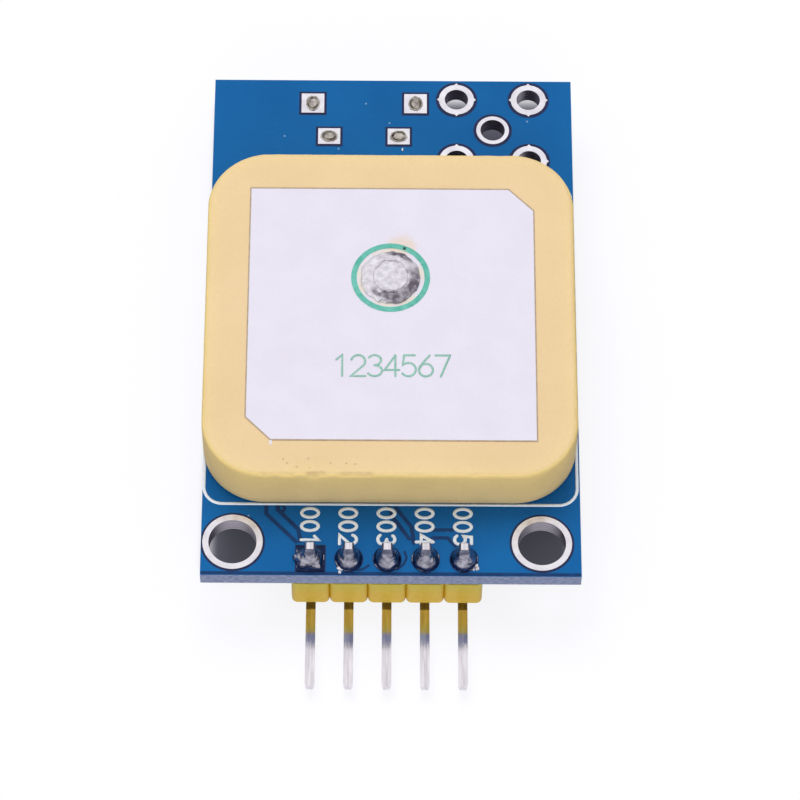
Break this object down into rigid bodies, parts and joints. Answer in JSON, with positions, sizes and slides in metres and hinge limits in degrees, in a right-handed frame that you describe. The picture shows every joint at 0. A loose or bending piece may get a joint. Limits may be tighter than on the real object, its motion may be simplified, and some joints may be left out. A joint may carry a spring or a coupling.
{
  "type": "gps module",
  "caption": "Satellite positioning module: blue circuit board with a square ceramic patch antenna, a bent pin header along one edge, and receiver, data socket and backup cell behind.",
  "frame": {"origin": "midway between the two mounting holes, on the board's back face", "axes": "+X along the header row, +Y from the header towards the data socket, +Z out of the antenna's face"},
  "size_m": [0.0252, 0.0457, 0.0097],
  "materials": {
    "board_mask": "satin blue solder mask on a glass fibre board",
    "tin_plating": "hot tinned copper",
    "ceramic": "fired sandy ceramic, matte",
    "silver_print": "fired silver paste, satin",
    "adhesive": "double sided adhesive pad",
    "solder": "tin solder, bright",
    "slot_solder": "tin solder, dull",
    "pin_metal": "tin plated brass wire",
    "green_print": "printed solder stop ring",
    "header_plastic": "moulded yellow plastic",
    "shell_sheet": "nickel plated sheet",
    "black_plastic": "moulded black plastic",
    "gold_contact": "gold flashed contact",
    "receiver_laminate": "green laminate",
    "can_sheet": "nickel silver sheet",
    "cell_steel": "nickel plated steel",
    "chip_plastic": "moulded black resin",
    "lamp_resin": "clear lamp resin on a white base",
    "capacitor_ceramic": "fired brown ceramic",
    "inductor_ferrite": "dark ferrite",
    "base_plastic": "pale moulded plastic"
  },
  "bodies": {
    "root": {"antenna_ceramic": "ceramic", "antenna_patch": "silver_print", "antenna_tape": "adhesive", "backup_cell": "cell_steel", "bias_inductor": "inductor_ferrite", "cell_gasket": "black_plastic", "cell_tab_lower": "cell_steel", "cell_tab_upper": "cell_steel", "chip_capacitors": "capacitor_ceramic", "chip_resistors": "chip_plastic", "chip_terminals": "tin_plating", "circuit_board": "board_mask", "coax_centre_ring": "tin_plating", "coax_ring_1": "tin_plating", "coax_ring_2": "tin_plating", "coax_ring_3": "tin_plating", "coax_ring_4": "tin_plating", "diode": "chip_plastic", "diode_leads": "tin_plating", "feed_land": "tin_plating", "feed_pin": "pin_metal", "feed_print": "green_print", "feed_solder": "solder", "feed_tail_solder": "solder", "header_block": "header_plastic", "header_lands": "tin_plating", "header_pin_1": "pin_metal", "header_pin_2": "pin_metal", "header_pin_3": "pin_metal", "header_pin_4": "pin_metal", "header_pin_5": "pin_metal", "header_solder_1": "solder", "header_solder_2": "solder", "header_solder_3": "solder", "header_solder_4": "solder", "header_solder_5": "solder", "leg_pad_1": "tin_plating", "leg_pad_2": "tin_plating", "leg_pad_3": "tin_plating", "leg_pad_4": "tin_plating", "leg_solder": "slot_solder", "memory_chip": "chip_plastic", "memory_leads": "tin_plating", "mini_coax_base": "base_plastic", "mini_coax_contact": "gold_contact", "mini_coax_ring": "gold_contact", "mounting_ring_1": "tin_plating", "mounting_ring_2": "tin_plating", "power_lamp": "lamp_resin", "pulse_lamp": "lamp_resin", "receiver_board": "receiver_laminate", "receiver_can": "can_sheet", "receiver_contacts": "gold_contact", "regulator": "chip_plastic", "regulator_leads": "tin_plating", "socket_contacts": "gold_contact", "socket_insulator": "black_plastic", "socket_shell": "shell_sheet"}
  },
  "joints": []
}
